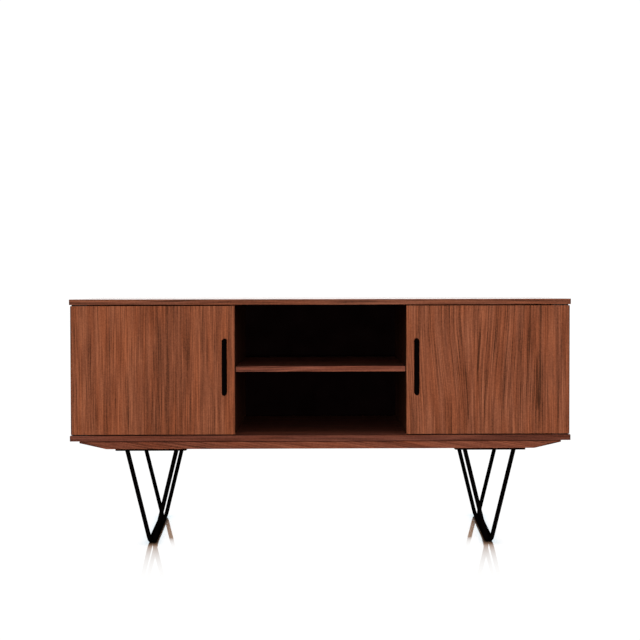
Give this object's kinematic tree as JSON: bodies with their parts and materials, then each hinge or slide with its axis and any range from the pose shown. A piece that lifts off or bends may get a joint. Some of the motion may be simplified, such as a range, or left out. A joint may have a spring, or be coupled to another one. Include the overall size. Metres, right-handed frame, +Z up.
{
  "type": "tv stand with doors",
  "caption": "Long low TV stand: walnut cabinet, open shelved bay between hinged doors with black bar handles, on black V-shaped wire legs.",
  "frame": {"origin": "on the floor, under the centre of the whole object including its handles", "axes": "+X along the length to the right as seen from the front, +Y from the doors to the back, +Z up"},
  "size_m": [1.36, 0.408, 0.67],
  "materials": {
    "walnut_veneer": "satin walnut veneer",
    "dark_backing": "matt hardboard",
    "black_coated_steel": "satin black powder coat",
    "zinc_plated_steel": "zinc plated",
    "brown_plastic": "matt"
  },
  "bodies": {
    "cabinet": {"back_panel": "dark_backing", "base_cross_rail_left": "walnut_veneer", "base_cross_rail_right": "walnut_veneer", "base_rail_back": "walnut_veneer", "base_rail_front": "walnut_veneer", "bottom_panel": "walnut_veneer", "catch_left": "brown_plastic", "catch_right": "brown_plastic", "center_shelf": "walnut_veneer", "divider_left": "walnut_veneer", "divider_right": "walnut_veneer", "hinge_panel_leaf_left_bottom": "zinc_plated_steel", "hinge_panel_leaf_left_top": "zinc_plated_steel", "hinge_panel_leaf_right_bottom": "zinc_plated_steel", "hinge_panel_leaf_right_top": "zinc_plated_steel", "leg_plate_left_back": "black_coated_steel", "leg_plate_left_front": "black_coated_steel", "leg_plate_right_back": "black_coated_steel", "leg_plate_right_front": "black_coated_steel", "leg_rod_left_inner": "black_coated_steel", "leg_rod_left_outer": "black_coated_steel", "leg_rod_right_inner": "black_coated_steel", "leg_rod_right_outer": "black_coated_steel", "leg_screw_left_back_a": "zinc_plated_steel", "leg_screw_left_back_b": "zinc_plated_steel", "leg_screw_left_front_a": "zinc_plated_steel", "leg_screw_left_front_b": "zinc_plated_steel", "leg_screw_right_back_a": "zinc_plated_steel", "leg_screw_right_back_b": "zinc_plated_steel", "leg_screw_right_front_a": "zinc_plated_steel", "leg_screw_right_front_b": "zinc_plated_steel", "shelf_pin_left_inner_back": "zinc_plated_steel", "shelf_pin_left_inner_front": "zinc_plated_steel", "shelf_pin_left_outer_back": "zinc_plated_steel", "shelf_pin_left_outer_front": "zinc_plated_steel", "shelf_pin_right_inner_back": "zinc_plated_steel", "shelf_pin_right_inner_front": "zinc_plated_steel", "shelf_pin_right_outer_back": "zinc_plated_steel", "shelf_pin_right_outer_front": "zinc_plated_steel", "side_panel_left": "walnut_veneer", "side_panel_right": "walnut_veneer", "side_shelf_left": "walnut_veneer", "side_shelf_right": "walnut_veneer", "top_panel": "walnut_veneer"},
    "door_left": {"door_left": "walnut_veneer", "handle_left": "black_coated_steel", "handle_screw_left_top": "zinc_plated_steel", "handle_screw_left_bottom": "zinc_plated_steel", "hinge_door_leaf_left_top": "zinc_plated_steel", "hinge_door_leaf_left_bottom": "zinc_plated_steel", "strike_left": "zinc_plated_steel"},
    "door_right": {"door_right": "walnut_veneer", "handle_right": "black_coated_steel", "handle_screw_right_top": "zinc_plated_steel", "handle_screw_right_bottom": "zinc_plated_steel", "hinge_door_leaf_right_top": "zinc_plated_steel", "hinge_door_leaf_right_bottom": "zinc_plated_steel", "strike_right": "zinc_plated_steel"}
  },
  "joints": [
    {"name": "door_left_hinge", "type": "hinge", "parent": "cabinet", "child": "door_left", "pos_m": [-0.6695, -0.1685, 0.4775], "axis": [0, 0, -1], "range_deg": [0, 110]},
    {"name": "door_right_hinge", "type": "hinge", "parent": "cabinet", "child": "door_right", "pos_m": [0.6695, -0.1685, 0.4775], "axis": [0, 0, 1], "range_deg": [0, 110]}
  ]
}
